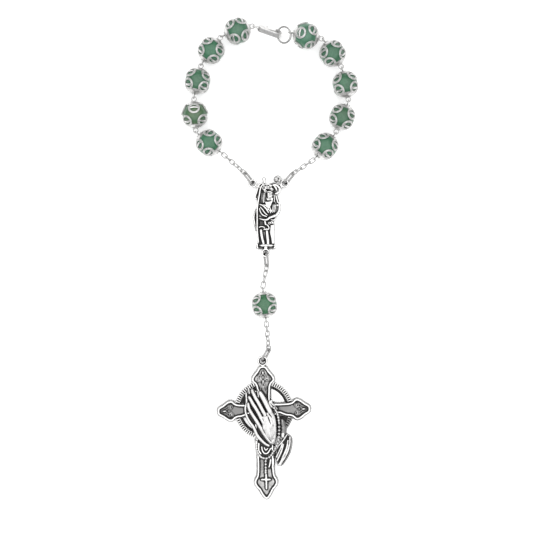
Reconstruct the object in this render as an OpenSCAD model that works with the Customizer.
// Rosary bracelet lying on a flat surface, face up, in millimetres.
// Ten capped beads in two curved runs meet at a lobster clasp, two short chains bring them
// to a cast centrepiece, and a pendant chain with one more bead ends in a cast crucifix.
// +X is to the right, +Y points from the crucifix towards the clasp, +Z is up.

/* [Beads] */
// Diameter of a bead
bead_d = 9.8; // [8:0.1:12]
// Diameter of the hole drilled through a bead
bead_bore_d = 0.9; // [0.7:0.05:1.4]

/* [Bead caps] */
// Thickness of a cap's metal
cap_t = 0.4; // [0.3:0.05:0.6]
// Gap between the bead and its cap
cap_gap = 0.05; // [0.03:0.01:0.15]
// Width of one petal of a cap
petal_w = 4.8; // [4:0.1:5.2]
// Width of the open window in a petal
petal_window_d = 3; // [2:0.1:3.4]
// Gap between the petals of a bead's two caps, where they face each other
petal_gap = 0.35; // [0.2:0.05:0.8]

/* [Eye pins] */
// Diameter of the pin's wire
pin_wire_d = 0.45; // [0.35:0.05:0.6]
// Outer diameter of the eye at each end of a pin
pin_eye_d = 2.3; // [2:0.1:3]
// Bare wire between a bead and the pin's eye
pin_neck = 0.15; // [0.1:0.01:1]

/* [Chain links] */
// Diameter of a link's wire
link_wire_d = 0.45; // [0.35:0.05:0.6]
// Outer width of a link
link_w = 2.1; // [1.9:0.1:2.6]
// Length of chain that one link adds
link_pitch = 2.2; // [1.8:0.1:3]
// Clear space between two pieces of wire that hold each other
wire_clear = 0.2; // [0.15:0.01:0.25]

/* [Oval rings] */
// Outer length of an oval ring
oval_l = 6.2; // [5:0.1:8]
// Outer width of an oval ring
oval_w = 3.2; // [2.9:0.1:4.2]
// Diameter of an oval ring's wire
oval_wire_d = 0.8; // [0.6:0.05:1]

/* [Clasp ring] */
// Outer diameter of the round ring that the clasp hooks on
ring_d = 7.15; // [6:0.05:8]
// Diameter of its wire
ring_wire_d = 0.75; // [0.6:0.05:0.9]

/* [Clasp] */
// Distance from the clasp's tail eye to the middle of its hook
clasp_l = 9.7; // [8.6:0.1:11]
// Thickness of the clasp's body
clasp_t = 2; // [1.8:0.1:2.6]
// Outer width of the hook's round end
clasp_end_d = 3.9; // [3.6:0.1:4.6]
// Width of the hole in the hook's round end
clasp_hole_d = 2.3; // [2:0.1:2.6]
// Outer width of the boss round the lever's pivot
clasp_boss_d = 2.9; // [2.6:0.1:3.4]
// Diameter of the lever's pivot pin
pivot_d = 0.6; // [0.5:0.05:0.8]
// Thickness of the lever
lever_t = 0.8; // [0.6:0.1:1]
// Gap between the lever's faces and the body
lever_clear = 0.1; // [0.08:0.01:0.2]
// Gap between the pivot pin and the lever's bore, on the radius
pivot_clear = 0.06; // [0.03:0.01:0.1]

/* [Centrepiece] */
// Height of the cast figure from the foot of its plinth to its shoulders
figure_h = 26.6; // [22:0.1:32]
// Thickness of the casting's flat back
figure_back_t = 1.3; // [1:0.1:1.8]
// Thickness of the eyes that the rings pass through
eye_t = 0.85; // [0.7:0.05:0.95]
// Diameter of the hole in an eye
eye_hole_d = 1.9; // [1.75:0.05:2.3]
// Width of the metal round an eye's hole
eye_rim = 0.8; // [0.7:0.05:1.2]

/* [Crucifix] */
// Length of the cross from its upper to its lower point
cross_l = 54; // [46:0.5:64]
// Width of the cross from point to point
cross_w = 38; // [32:0.2:44]
// Thickness of the cross at its raised border
cross_t = 2.2; // [1.8:0.1:2.8]
// Depth of the sunk field inside the border
field_depth = 0.7; // [0.4:0.05:1]
// Width of the raised border, with the slope outside it
border_w = 1.6; // [1.3:0.05:1.9]
// Outer diameter of the rayed ring behind the arms
halo_d = 23.7; // [21:0.1:26.5]
// Width of the rayed ring
halo_w = 2.9; // [2:0.1:3.4]
// Thickness of the rayed ring
halo_t = 1.5; // [1.2:0.1:1.8]
// Outer diameter of the bail at the top of the cross
bail_d = 4.2; // [3.8:0.1:5]
// Diameter of the bail's metal
bail_wire_d = 1; // [0.8:0.05:1.2]

/* [Hidden] */
$fn = 48;

// Places on the surface, as X and Y, of the pieces that the runs of beads and chain join
hook_place = [3.1, 90.25];
figure_place = [-1.48, 18.4];
drop_place = [-2.08, -17.8];
cross_place = [-2.28, -59.84];

// The route of the two runs of beads, from the clasp: heading of each bead's pin in degrees,
// height of the pin's far end as a share of the bead's radius, turn of its first and second
// cap, and turn of its first and second eye
left_run = [
    [199, 1.13, 45, 45, 0, 90],
    [234, 0.88, 45, 45, 0, 90],
    [258, 1.15, 45, 45, 0, 90],
    [273, 1.05, 0, 45, 0, 0],
    [321, 0.97, 45, 45, 90, 90],
];
right_run = [
    [-11, 1.12, 0, 60, 90, 0],
    [-56, 0.88, 45, 45, 90, 0],
    [-79, 1.15, 45, 45, 90, 0],
    [-112, 0.87, 45, 45, 90, 0],
    [-129, 1.14, 45, 45, 90, 90],
];
// The pendant's bead: heading, height of its upper and lower end as a share of the bead's
// radius, turn of its caps and turn of its eyes
drop_run = [-84, 0.86, 1.15, 45, 45, 90, 90];

// Bead, cap and pin
bead_r = bead_d / 2;
cap_ri = bead_r + cap_gap;
cap_ro = cap_ri + cap_t;
petal_a = asin(petal_w / 2 / cap_ro);
window_a = asin(petal_window_d / 2 / cap_ro);
petal_tilt = 90 - petal_a - asin(petal_gap / 2 / cap_ro);
// The plain middle reaches 5 degrees under the petals, and is a little thicker than they are
middle_a = petal_tilt - petal_a + 5;
middle_lip = 0.03;
pin_eye_r = (pin_eye_d - pin_wire_d) / 2;
wire_gap = pin_wire_d + wire_clear;
pin_reach = pin_eye_r - wire_gap / 2;
bead_pitch = bead_d + 2 * (pin_neck + pin_eye_d / 2 + pin_reach);
// The cap's middle hole clears the part of the eye that sits inside it
eye_sink = max(cap_ro - bead_r - pin_neck, 0.1);
cap_hole_r = sqrt(pow(pin_eye_d / 2, 2) - pow(pin_eye_d / 2 - eye_sink, 2)) + wire_clear;
cap_hole_a = asin(cap_hole_r / cap_ri);

// The least height that the beads and the clasp keep above the surface
bed_lift = 0.07;

// Unit vector for a heading and a slope in degrees
function course(az, el = 0) = [cos(az) * cos(el), sin(az) * cos(el), sin(el)];
function flat_norm(v) = norm([v.x, v.y]);

// Distance from a linking point to the middle of the other piece's wire
function grip(wire) = (wire + pin_wire_d) / 2 + wire_clear - wire_gap / 2;

// Clasp: its heading, slope and roll, and the places along its own X axis
clasp_az = -14;
clasp_el = -14.5;
clasp_roll = -52;
boss_x = clasp_l * 0.3;
end_x = clasp_l - 0.3;
end_y = -0.15;
slot_x = boss_x + 2.4;
slot_r = 0.85;
hook_flare = 0.45;
tail_r = 0.75;
tail_wire_d = 0.5;
tail_neck_d = 1.1;
// Height at which the hook's round end, tipped and rolled, just clears the surface
face_z = cos(clasp_roll) * cos(clasp_el);
end_drop = clasp_end_d / 2 * sqrt(1 - face_z * face_z) + clasp_t / 2 * face_z;
end_rise = (end_x - clasp_l) * sin(clasp_el) + end_y * sin(clasp_roll) * cos(clasp_el);
hook_z = end_drop - end_rise + bed_lift;
hook = [hook_place.x, hook_place.y, hook_z];
clasp_dir = course(clasp_az, clasp_el);
tail = hook - clasp_l * clasp_dir;
left_start = tail - tail_r * clasp_dir - grip(tail_wire_d) * course(left_run[0][0]);

// Clasp ring: its slope runs along slope_az, and it is held at two places on its circle
ring_r = (ring_d - ring_wire_d) / 2;
slope_az = 17;
hook_turn = 150;
bead_turn = -4;
ring_rise = 1.14 * bead_r + bed_lift - hook_z;
ring_el = asin(ring_rise / (ring_r * (cos(bead_turn) - cos(hook_turn))));
function on_ring(turn) = ring_r * (cos(turn) * course(slope_az, ring_el)
    + sin(turn) * course(slope_az + 90));
ring_mid = hook - on_ring(hook_turn);
right_start = ring_mid + on_ring(bead_turn) - grip(ring_wire_d) * course(right_run[0][0]);

// Next linking point of a run, a bead's pitch further on
function step_on(p, row) =
    let (rise = row[1] * bead_r + bed_lift - p.z, flat = sqrt(pow(bead_pitch, 2) - rise * rise))
    p + flat * course(row[0]) + [0, 0, rise];
function walk(p, rows, i = 0) = i >= len(rows) ? [p] : concat([p], walk(step_on(p, rows[i]), rows, i + 1));
left_pts = walk(left_start, left_run);
right_pts = walk(right_start, right_run);
drop_rise = (drop_run[2] - drop_run[1]) * bead_r;
drop_flat = sqrt(pow(bead_pitch, 2) - drop_rise * drop_rise);
drop_mid = [drop_place.x, drop_place.y, (drop_run[1] + drop_run[2]) / 2 * bead_r + bed_lift];
drop_arm = drop_flat / 2 * course(drop_run[0]) + [0, 0, drop_rise / 2];
drop_top = drop_mid - drop_arm;
drop_end = drop_mid + drop_arm;

// Centrepiece: its parts are placed as shares of the figure's height
fig = figure_h;
eye_z = 1.45;
left_eye = [-0.2 * fig, 0.455 * fig];
right_eye = [0.28 * fig, 0.455 * fig];
foot_eye = [-0.005 * fig, -0.585 * fig];

// Crucifix: the four arms' lengths from the crossing
cross_lean = 1.7;
arm_up = 0.335 * cross_l;
arm_down = cross_l - arm_up;
arm_side = cross_w / 2;
bail_r = (bail_d - bail_wire_d) / 2;
bail_y = arm_up + bail_r - 0.1;
field_z = cross_t - field_depth;
// Each arm's heading and length, then the length of its point and half its width on a cross 54
// long, for which the relief's own rows are drawn too, and its neck as a share of that half
cross_arms = [
    [90, arm_up, 6, 5, 0.63],
    [0, arm_side, 5.9, 4.65, 0.64],
    [-90, arm_down, 7.3, 5.1, 0.74],
    [180, arm_side, 5.9, 4.55, 0.65],
];
relief = cross_l / 54;
// The halo's rays, the depth of the notches between them and of its groove
ray_count = 64;
ray_depth = 0.35;
groove_depth = 0.4;

// Oval rings: the place of the wire in the casting's eye, a heading and a slope
oval_flat = oval_l - oval_wire_d;
oval_roll = 59;
oval_z = (oval_w - oval_wire_d) / 2 * sin(oval_roll) + oval_wire_d / 2 + 0.05;
function raised(p, z) = [p.x, p.y, z];
function turned(p, a) = [p.x * cos(a) - p.y * sin(a), p.x * sin(a) + p.y * cos(a)];
ovals = [
    [raised(figure_place + left_eye, oval_z), 127],
    [raised(figure_place + right_eye, oval_z), 50],
    [raised(figure_place + foot_eye, oval_z), -85],
    [raised(cross_place + turned([0, bail_y], cross_lean), oval_z), 61],
];
function oval_far(i) = ovals[i][0] + oval_flat * course(ovals[i][1]);
// Where a chain from p ends inside the far end of an oval ring: halfway between their directions
function unit(v) = v / norm(v);
function oval_link(i, p) = oval_far(i)
    + grip(oval_wire_d) * unit(unit(oval_far(i) - p) - course(ovals[i][1]));

// Every bead as its name and the two ends of its pin, its caps' turns and its eyes' turns
names = ["01", "02", "03", "04", "05", "06", "07", "08", "09", "10", "drop"];
function run_bead(i) = i < 5
    ? [left_pts[i], left_pts[i + 1], left_run[i][2], left_run[i][3], left_run[i][4], left_run[i][5]]
    : [right_pts[i - 5], right_pts[i - 4],
       right_run[i - 5][2], right_run[i - 5][3], right_run[i - 5][4], right_run[i - 5][5]];
units = concat([for (i = [0:9]) run_bead(i)],
    [[drop_top, drop_end, drop_run[3], drop_run[4], drop_run[5], drop_run[6]]]);

// Puts the X axis along the line from p towards q, with the origin at p
module aim(p, q) {
    v = q - p;
    translate(p) rotate([0, -atan2(v.z, flat_norm(v)), atan2(v.y, v.x)]) children();
}

// Round wire bent to a closed circle in the XY plane
module hoop(r, wire) {
    rotate_extrude() translate([r, 0]) circle(d = wire);
}

// A link's straight sides are a hair thinner than its round ends, and run a little way into them
side_share = 0.94;
side_lip = 0.1;

// Wire link with two straight sides along X
module long_link(length, width, wire) {
    r = (width - wire) / 2;
    half = (length - width) / 2;
    for (end = [0, 180]) rotate([0, 0, end]) {
        translate([half, 0, 0]) rotate([0, 0, -90])
            rotate_extrude(angle = 180) translate([r, 0]) circle(d = wire);
        translate([0, r, 0]) bar_x(-half - side_lip, half + side_lip, wire * side_share);
    }
}

// Cylinder along X from x0 to x1
module bar_x(x0, x1, d) {
    translate([x0, 0, 0]) rotate([0, 90, 0]) cylinder(d = d, h = x1 - x0);
}

// Outline round two circles, as a belt runs round two pulleys
module belt(p, rp, q, rq) {
    v = q - p;
    a = atan2(v.y, v.x);
    lean = acos((rp - rq) / norm(v));
    side = [for (s = [1, -1]) [cos(a + s * lean), sin(a + s * lean)]];
    translate(p) circle(r = rp);
    translate(q) circle(r = rq);
    polygon([p + rp * side[0], q + rq * side[0], q + rq * side[1], p + rp * side[1]]);
}

// Flat bar from p to q
module strut(p, q, w) {
    v = q - p;
    translate(p) rotate(atan2(v.y, v.x)) translate([0, -w / 2]) square([norm(v), w]);
}

// Drilled round bead, its hole along the pin
module bead(u) {
    color([0.24, 0.51, 0.37])
    aim((u[0] + u[1]) / 2, u[1])
    rotate([0, 90, 0]) rotate_extrude() difference() {
        circle(d = bead_d);
        translate([bead_bore_d / 2 - bead_d, -bead_d]) square([bead_d, 2 * bead_d]);
    }
}

// Ring cut from a round shell, between two angles from the X axis
module shell_ring(r0, r1, a0, a1) {
    far = 3 * r1;
    rotate([0, 90, 0])
    rotate_extrude($fn = 144) intersection() {
        difference() {
            circle(r = r1, $fn = 144);
            circle(r = r0, $fn = 144);
        }
        polygon([[0, 0], far * [sin(a0), cos(a0)], far * [sin(a1), cos(a1)]]);
    }
}

// Filigree cap: a plain middle and four petals, each a ring round an open window
module cap(u, second) {
    color([0.83, 0.83, 0.82])
    aim((u[0] + u[1]) / 2, second ? u[1] : u[0])
    rotate([second ? u[3] : u[2], 0, 0]) {
        shell_ring(cap_ri, cap_ro, cap_hole_a, middle_a);
        for (k = [0:3]) rotate([90 * k, 0, 0]) rotate([0, -petal_tilt, 0])
            shell_ring(cap_ri + middle_lip, cap_ro - middle_lip, window_a, petal_a);
    }
}

// Wire through the bead with an eye turned at each end
module pin(u) {
    mid = (u[0] + u[1]) / 2;
    eye_x = norm(u[1] - u[0]) / 2 - pin_reach;
    shank_d = pin_wire_d * 0.9;
    color([0.8, 0.8, 0.8])
    aim(mid, u[1]) {
        bar_x(-(eye_x - pin_eye_r), eye_x - pin_eye_r, shank_d);
        translate([-eye_x, 0, 0]) rotate([u[4], 0, 0]) hoop(pin_eye_r, pin_wire_d);
        translate([eye_x, 0, 0]) rotate([u[5], 0, 0]) hoop(pin_eye_r, pin_wire_d);
    }
}

// Loose links that hold each other in a row from a pin's upright eye at p to an oval ring at q:
// the first link lies flat in the eye, the last lies across the ring, and each is turned by
// about a right angle from the one before it
module chain(p, q) {
    count = max(2, round(norm(q - p) / link_pitch));
    pitch = norm(q - p) / count;
    length = pitch + 2 * link_wire_d + wire_clear;
    last_turn = 90 - oval_roll;
    half_turns = round((90 * (count - 1) - last_turn) / 180);
    turn = (last_turn + 180 * half_turns) / (count - 1);
    color([0.8, 0.8, 0.8])
    aim(p, q)
    for (i = [0:count - 1])
        translate([(i + 0.5) * pitch, 0, 0]) rotate([i * turn, 0, 0])
            long_link(length, link_w, link_wire_d);
}

module oval(i) {
    color([0.55, 0.55, 0.55])
    aim(ovals[i][0], oval_far(i))
    translate([oval_flat / 2, 0, 0]) rotate([oval_roll, 0, 0])
        long_link(oval_l, oval_w, oval_wire_d);
}

// Puts the clasp's own frame on the surface: X runs from the tail eye to the hook
module clasp_frame() {
    aim(tail, hook) rotate([clasp_roll, 0, 0]) children();
}

// Flat outline of the hook, without the gate that the lever closes
module hook_outline() {
    difference() {
        belt([boss_x, 0], clasp_boss_d / 2, [end_x, end_y], clasp_end_d / 2);
        belt([slot_x, end_y], slot_r, [end_x, end_y], clasp_hole_d / 2);
        polygon([
            [boss_x + 1.2, 0.4], [end_x - 0.7, 0.7],
            [end_x - 0.45, clasp_end_d], [boss_x + 0.9, clasp_end_d],
        ]);
    }
}

module clasp_body() {
    slot_t = lever_t + 2 * lever_clear;
    color([0.8, 0.8, 0.8])
    clasp_frame() {
        rotate([90 - clasp_roll, 0, 0]) hoop(tail_r, tail_wire_d);
        bar_x(tail_r, boss_x - clasp_boss_d / 2 + 0.4, tail_neck_d);
        difference() {
            translate([0, 0, -clasp_t / 2]) linear_extrude(clasp_t) hook_outline();
            // The hook's hole opens out towards both faces
            for (face = [0, 180]) translate([end_x, end_y, 0]) rotate([face, 0, 0])
                cylinder(r1 = clasp_hole_d / 2, r2 = clasp_hole_d / 2 + hook_flare, h = clasp_t / 2);
            translate([boss_x, 0, -slot_t / 2]) {
                cylinder(d = clasp_boss_d - 0.6, h = slot_t);
                translate([0, -0.85, 0]) cube([2.6, clasp_end_d, slot_t]);
            }
        }
        translate([boss_x, 0, -clasp_t / 2 - 0.1]) cylinder(d = pivot_d, h = clasp_t + 0.2);
    }
}

module clasp_lever() {
    color([0.83, 0.83, 0.83])
    clasp_frame()
    translate([boss_x, 0, -lever_t / 2])
    linear_extrude(lever_t)
    difference() {
        tip = [end_x - boss_x - 1.2, 1.2];
        tab = [2.6, 2.8];
        union() {
            circle(d = clasp_boss_d - 0.8);
            strut([0, 0.3], tip, 0.8);
            translate(tip) circle(r = 0.45);
            strut([2.4, 0.8], tab, 0.85);
            translate(tab) circle(r = 0.5);
        }
        circle(r = pivot_d / 2 + pivot_clear);
    }
}

module clasp_ring() {
    color([0.7, 0.7, 0.7])
    translate(ring_mid) rotate([0, -ring_el, slope_az]) hoop(ring_r, ring_wire_d);
}

// Cuts away what would reach below the surface that the casting lies on
module flat_back() {
    reach = 2 * (cross_l + cross_w);
    difference() {
        children();
        translate([-reach / 2, -reach / 2, -reach]) cube(reach);
    }
}

// Smooth lump from a chain of rows, each the X, Y, Z and radius of a round
module limb(rows, sides = 8) {
    for (i = [0:len(rows) - 2]) hull() {
        for (row = [rows[i], rows[i + 1]])
            translate([row[0], row[1], row[2]]) sphere(r = row[3], $fn = sides);
    }
}

// Cast eye in the XY plane, with a short neck of metal at its foot
module cast_eye(p, neck_to) {
    translate([p.x, p.y, eye_z - eye_t / 2]) difference() {
        union() {
            cylinder(r = eye_hole_d / 2 + eye_rim, h = eye_t, $fn = 20);
            hull() {
                translate(0.75 * (neck_to - p)) cylinder(r = eye_rim * 0.9, h = eye_t, $fn = 8);
                translate(0.3 * (neck_to - p)) cylinder(r = eye_rim, h = eye_t, $fn = 8);
            }
        }
        translate([0, 0, -1]) cylinder(d = eye_hole_d, h = eye_t + 2, $fn = 16);
    }
}

// Saint with a staff, who carries a child on the shoulder, on a small plinth
module centrepiece() {
    back = [[-0.115, -0.53], [0.14, -0.53], [0.14, -0.47], [0.1, -0.44], [0.11, -0.12], [0.17, 0.05],
        [0.2, 0.2], [0.14, 0.33], [0.19, 0.42], [0.1, 0.46], [-0.1, 0.47], [-0.15, 0.38],
        [-0.15, 0.24], [-0.12, 0.1], [-0.17, -0.06], [-0.17, -0.16], [-0.12, -0.24], [-0.11, -0.44],
        [-0.14, -0.47], [-0.14, -0.53]];
    color([0.55, 0.55, 0.55])
    translate(raised(figure_place, 0)) flat_back() {
        linear_extrude(figure_back_t) polygon(fig * back);
        cast_eye(left_eye, [-0.08, 0.4] * fig);
        cast_eye(right_eye, [0.1, 0.4] * fig);
        cast_eye(foot_eye, [0, -0.5] * fig);
        scale(fig) translate([0, 0, 0.03]) figure_relief();
    }
}

// The figure's relief at a height of one, above the middle of the flat back
module figure_relief() {
    head = [0.03, 0.31, 0.045];
    child = [0.168, 0.53, 0.04];
    // Plinth in two steps
    translate([-0.145, -0.535, -0.03]) cube([0.29, 0.04, 0.115]);
    translate([-0.135, -0.48, -0.03]) cube([0.27, 0.035, 0.105]);
    translate([-0.12, -0.5, -0.03]) cube([0.24, 0.03, 0.095]);
    // Legs, tree stump and tunic
    limb([[-0.065, -0.24, 0.03, 0.036], [-0.03, -0.45, 0.035, 0.028]]);
    limb([[0.03, -0.22, 0.035, 0.038], [0.042, -0.45, 0.035, 0.03]]);
    limb([[0.11, -0.17, 0.02, 0.028], [0.115, -0.45, 0.015, 0.03]]);
    for (k = [0:4]) limb([[-0.06 + 0.045 * k, -0.08, 0.04, 0.035],
        [-0.075 + 0.05 * k, -0.23 - 0.015 * (k % 2), 0.035, 0.032]], 6);
    translate([-0.1, -0.24, -0.03]) cube([0.2, 0.2, 0.065]);
    // Chest, folds and beard
    limb([[-0.02, 0.2, 0.03, 0.075], [0.03, 0, 0.035, 0.08]]);
    limb([[0.1, 0.22, 0.03, 0.06], [0.06, 0, 0.035, 0.06]]);
    for (k = [0:2]) limb([[-0.07 + 0.01 * k, 0.12 - 0.05 * k, 0.07, 0.018],
        [0.02, 0.06 - 0.045 * k, 0.088, 0.016], [0.09, 0.11 - 0.05 * k, 0.07, 0.015]], 6);
    limb([[0.03, 0.25, 0.08, 0.03], [0.035, 0.15, 0.075, 0.016]]);
    // Sash that sweeps across the waist
    limb([[-0.09, -0.03, 0.05, 0.02], [0, -0.075, 0.085, 0.024], [0.1, -0.035, 0.075, 0.024],
        [0.17, 0.05, 0.045, 0.02]]);
    // Head with hair and a headband
    limb([[head.x, head.y, head.z, 0.07], [head.x, head.y + 0.02, head.z, 0.072]]);
    for (k = [0:4]) limb([[-0.05 + 0.04 * k, 0.335, 0.07, 0.02], [-0.03 + 0.03 * k, 0.385, 0.055, 0.02]], 6);
    // Arm that holds the child
    limb([[0.13, 0.25, 0.045, 0.036], [0.185, 0.11, 0.05, 0.03], [0.12, 0.0, 0.075, 0.026]]);
    // Child: head, body and legs
    limb([[child.x, child.y, child.z, 0.058], [child.x, child.y - 0.01, child.z, 0.06]]);
    limb([[0.155, 0.44, 0.035, 0.05], [0.14, 0.36, 0.045, 0.042]]);
    limb([[0.18, 0.39, 0.05, 0.022], [0.12, 0.3, 0.075, 0.02]], 6);
    // Staff with a knob
    limb([[-0.025, 0.53, 0.025, 0.026], [-0.026, 0.54, 0.025, 0.028]]);
    limb([[-0.025, 0.53, 0.03, 0.014], [-0.03, 0.47, 0.035, 0.017], [-0.085, 0.45, 0.045, 0.018],
        [-0.118, 0.38, 0.045, 0.018], [-0.12, 0, 0.04, 0.018], [-0.11, -0.46, 0.03, 0.018]], 6);
    // Cloak behind the staff
    limb([[-0.12, 0.41, 0.02, 0.02], [-0.155, 0.32, 0.02, 0.02], [-0.14, 0.22, 0.02, 0.018]], 6);
    limb([[-0.14, 0.05, 0.02, 0.02], [-0.185, -0.05, 0.02, 0.022], [-0.15, -0.2, 0.02, 0.018]], 6);
}

// Outline of an arm's end: distance from its tip as a share of the point's length, and share of
// the way from the neck's half width to the widest
arm_rows = [[2.4, 0], [1.7, 0], [1.45, 0.1], [1.32, 0.3], [1.22, 0.65], [1.1, 0.92], [1, 1],
    [0.84, 0.92], [0.73, 0.75], [0.62, 0.5], [0.5, 0.18], [0.38, -0.15], [0.25, -0.4], [0.12, -0.7],
    [0.03, -1.1]];

// One side of an arm along +X from the neck to the point, drawn in by inset
function arm_side_points(length, tip, half, neck, inset) = [
    for (row = arm_rows) let (y = half * (neck + (1 - neck) * row[1]) - inset) if (y > 0.15)
        [length - inset / 2 - (tip - inset / 2) * row[0], y],
];
module arm_shape(length, tip, half, neck, inset) {
    side = arm_side_points(length, tip, half, neck, inset);
    other = [for (i = [len(side) - 1:-1:0]) [side[i].x, -side[i].y]];
    point = [[length - inset / 2, 0]];
    polygon(concat([[0, side[0].y]], side, point, other, [[0, -side[0].y]]));
}

// The cross's outline: up, right, down and left arms, each with its own length and width
module cross_shape(inset = 0) {
    for (arm = cross_arms) rotate(arm[0])
        arm_shape(arm[1], arm[2] * relief, arm[3] * relief, arm[4], inset);
    square(2 * (3 * relief - inset), center = true);
}

// Ring with radial rays round its outside
module halo() {
    r = halo_d / 2;
    step = 180 / ray_count;
    edge = [for (k = [0:2 * ray_count - 1]) (r - (k % 2) * ray_depth) * [cos(k * step), sin(k * step)]];
    difference() {
        linear_extrude(halo_t) polygon(edge);
        translate([0, 0, -1]) cylinder(r = r - halo_w, h = halo_t + 2);
        translate([0, 0, halo_t - groove_depth]) difference() {
            cylinder(r = r - halo_w * 0.7, h = 1);
            translate([0, 0, -1]) cylinder(r = r - halo_w * 0.92, h = 3);
        }
    }
}

// Two small scrolls and a lozenge, for an arm that points along +X with its tip at x
module arm_ornament(x) {
    for (s = [1, -1]) translate([x - 5.9, s * 1.6, field_z])
        rotate_extrude($fn = 12) translate([0.8, 0]) circle(r = 0.28, $fn = 6);
    translate([x - 3.2, 0, field_z]) rotate([0, 0, 45]) cylinder(r = 0.8, h = 0.45, $fn = 4);
}

// Two praying hands in raised relief, built from the wrist up on plain proportions
module praying_hands() {
    // Near hand: tip, middle joint and knuckle of each finger with their radii
    fingers = [
        [[-1.9, 7.1, 3.1, 0.85], [0.8, 2.6, 3.7, 1.15], [3.2, -1.9, 3.6, 1.35]],
        [[-4.6, 7.5, 2.9, 0.8], [-1.8, 2.8, 3.6, 1.1], [1.1, -2.3, 3.7, 1.3]],
        [[-6, 5.3, 2.8, 0.75], [-3.4, 0.8, 3.4, 1.02], [-0.8, -4, 3.4, 1.2]],
        [[-5.9, 0.7, 2.5, 0.65], [-4.2, -2.4, 2.9, 0.85], [-2.3, -5.6, 2.9, 1.05]],
    ];
    for (finger = fingers) limb(finger, 10);
    // Back of the hand, thumb side and wrist
    limb([[2.4, -3.4, 2.6, 2.4], [1.6, -6.6, 2.2, 2.7], [2.5, -11, 2, 2.2]], 12);
    limb([[-0.6, -5.4, 2.2, 1.9], [0.6, -8.2, 1.9, 2.1], [2, -11.4, 1.8, 2]], 10);
    limb([[3.6, -2.2, 3, 1.4], [4, -7, 2.7, 1.6], [3.4, -11.6, 2.3, 1.5]], 8);
    // Far hand behind: its edge from the finger tips to the wrist, and its thumb
    limb([[-7, 6.3, 2, 0.7], [-7.2, 0.8, 2.1, 0.9], [-4.6, -6, 2, 0.95], [-2.3, -10.3, 1.9, 1],
        [0.6, -13.2, 1.8, 0.9]], 8);
    limb([[3.4, 2.6, 2, 0.8], [5.2, 0.6, 1.9, 0.75]], 8);
}

// Sleeves below the hands
module sleeves() {
    // Wide sleeve in four falling folds
    limb([[8.4, -9.8, 1.7, 0.8], [7, -15.6, 2.1, 0.9], [5.3, -20.6, 1.6, 0.7]], 8);
    limb([[9.7, -10.2, 1.6, 0.8], [8.4, -16.4, 2.1, 0.9], [5.9, -22, 1.5, 0.75]], 8);
    limb([[10.9, -11.8, 1.4, 0.8], [9.7, -17, 1.7, 0.9], [6.4, -22.4, 1.4, 0.7]], 8);
    limb([[7.4, -10.8, 1.5, 0.8], [5.7, -15.4, 1.9, 0.85], [4.9, -19.6, 1.5, 0.6]], 8);
    hull() {
        for (p = [[8.4, -9.6], [11, -12], [10.2, -17], [6.2, -22.4], [4.9, -20], [4.8, -15]])
            translate(p) cylinder(r = 0.8, h = 1.75, $fn = 8);
    }
    // Narrow sleeve end behind
    limb([[3.2, -19.6, 1.2, 0.9], [3, -22.6, 1.1, 0.85]], 8);
    // Cuff round the wrist
    translate([-1.1, -18.9, 0]) cube([5, 6.7, 1.75]);
    limb([[-1.5, -12.8, 1.6, 0.7], [-0.9, -16, 1.7, 0.75], [1.4, -17.8, 1.7, 0.75],
        [3.9, -15.4, 1.7, 0.7]], 8);
    limb([[0, -13.6, 1.8, 0.5], [0.9, -15.9, 1.9, 0.5], [2.6, -14.6, 1.9, 0.5]], 6);
    // Far forearm
    limb([[6.9, -2.6, 1.65, 0.9], [7.6, -6, 1.62, 1.1], [7.3, -10.4, 1.5, 1.2]], 8);
}

// The route of the small strand of beads on the crucifix, as X and Y
strand = [
    [4.6, 0.5], [5.6, -3.2], [6, -7.7], [5.9, -10.5], [5.3, -12.8], [4.4, -15.1], [3.6, -16.9], [2.1, -18.5],
    [0.7, -19], [-1.1, -18.7], [-2.5, -16.9], [-3.1, -15.3], [-3.1, -12.3],
];
strand_z = [2.9, 2.8, 2.5, 2.3, 2.4, 2.7, 2.6, 2.1, 1.9, 1.9, 1.9, 1.9, 1.9];
strand_pitch = 1.15;
strand_bead_r = 0.48;
// Five beads drop from the strand to a small cross: its foot, width, stem and raised upright,
// and its bar's length and height above the foot
drop_beads = [0.8, -20, 1.8];
drop_count = 5;
small_foot = [0.9, -31.8, 1];
small_w = 0.9;
small_stem = [12.4, 0.7];
small_upright = [6.4, 1.4];
small_bar = [4, 3.6];

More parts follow.
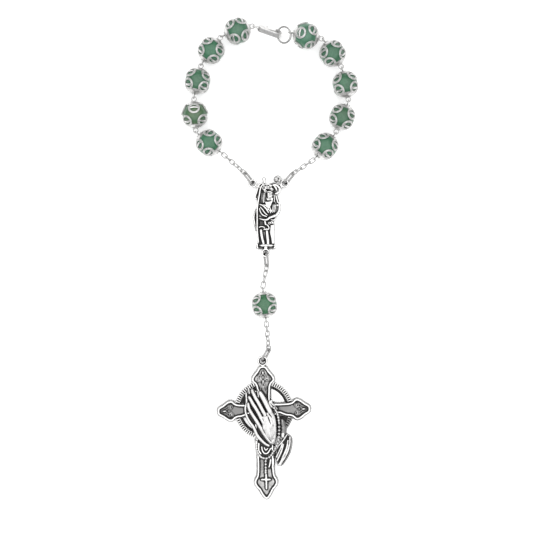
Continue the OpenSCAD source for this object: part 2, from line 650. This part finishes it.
module small_strand() {
    for (i = [0:len(strand) - 2]) {
        p = raised(strand[i], strand_z[i]);
        q = raised(strand[i + 1], strand_z[i + 1]);
        count = max(1, round(norm(q - p) / strand_pitch));
        for (k = [0:count - 1]) translate(p + (q - p) * k / count) sphere(r = strand_bead_r, $fn = 6);
    }
    // The metal that carries the strand
    limb([for (i = [0:len(strand) - 1]) [strand[i].x, strand[i].y, strand_z[i] - 0.3, 0.42]], 6);
    for (k = [0:drop_count - 1])
        translate(drop_beads - [0, strand_pitch * k, 0]) sphere(r = 0.5, $fn = 6);
    translate(small_foot) {
        translate([-small_w / 2, 0, 0]) cube([small_w, small_stem[0], small_stem[1]]);
        translate([-small_w / 2, 0, 0]) cube([small_w, small_upright[0], small_upright[1]]);
        translate([-small_bar[0] / 2, small_bar[1], 0]) cube([small_bar[0], small_w, small_upright[1]]);
    }
}

// Cross plate, rayed ring, bail and everything cast on them
module crucifix() {
    color([0.5, 0.5, 0.5])
    translate(raised(cross_place, 0)) rotate([0, 0, cross_lean]) flat_back() {
        linear_extrude(field_z) cross_shape();
        for (row = [[0, cross_t - 1], [0.35, cross_t - 0.45], [0.7, cross_t]])
            linear_extrude(row[1]) difference() {
                cross_shape(row[0]);
                cross_shape(border_w);
            }
        halo();
        rotate([0, 0, 90]) arm_ornament(arm_up);
        arm_ornament(arm_side);
        rotate([0, 0, 180]) arm_ornament(arm_side);
        // Bail
        translate([0, bail_y, oval_z])
            rotate_extrude($fn = 24) translate([bail_r, 0]) circle(d = bail_wire_d, $fn = 8);
        translate([-0.9, arm_up - 1.3, 0]) cube([1.8, 1.1, oval_z + 0.2]);
        scale(relief) {
            praying_hands();
            sleeves();
            small_strand();
        }
    }
}

for (i = [0:10]) {
    bead(units[i]);
    cap(units[i], false);
    cap(units[i], true);
    pin(units[i]);
}
chain(left_pts[5], oval_link(0, left_pts[5]));  // chain_left
chain(right_pts[5], oval_link(1, right_pts[5]));  // chain_right
chain(drop_top, oval_link(2, drop_top));  // chain_upper
chain(drop_end, oval_link(3, drop_end));  // chain_lower
oval(0);  // oval_left
oval(1);  // oval_right
oval(2);  // oval_foot
oval(3);  // oval_bail
clasp_body();
clasp_lever();
clasp_ring();
centrepiece();
crucifix();
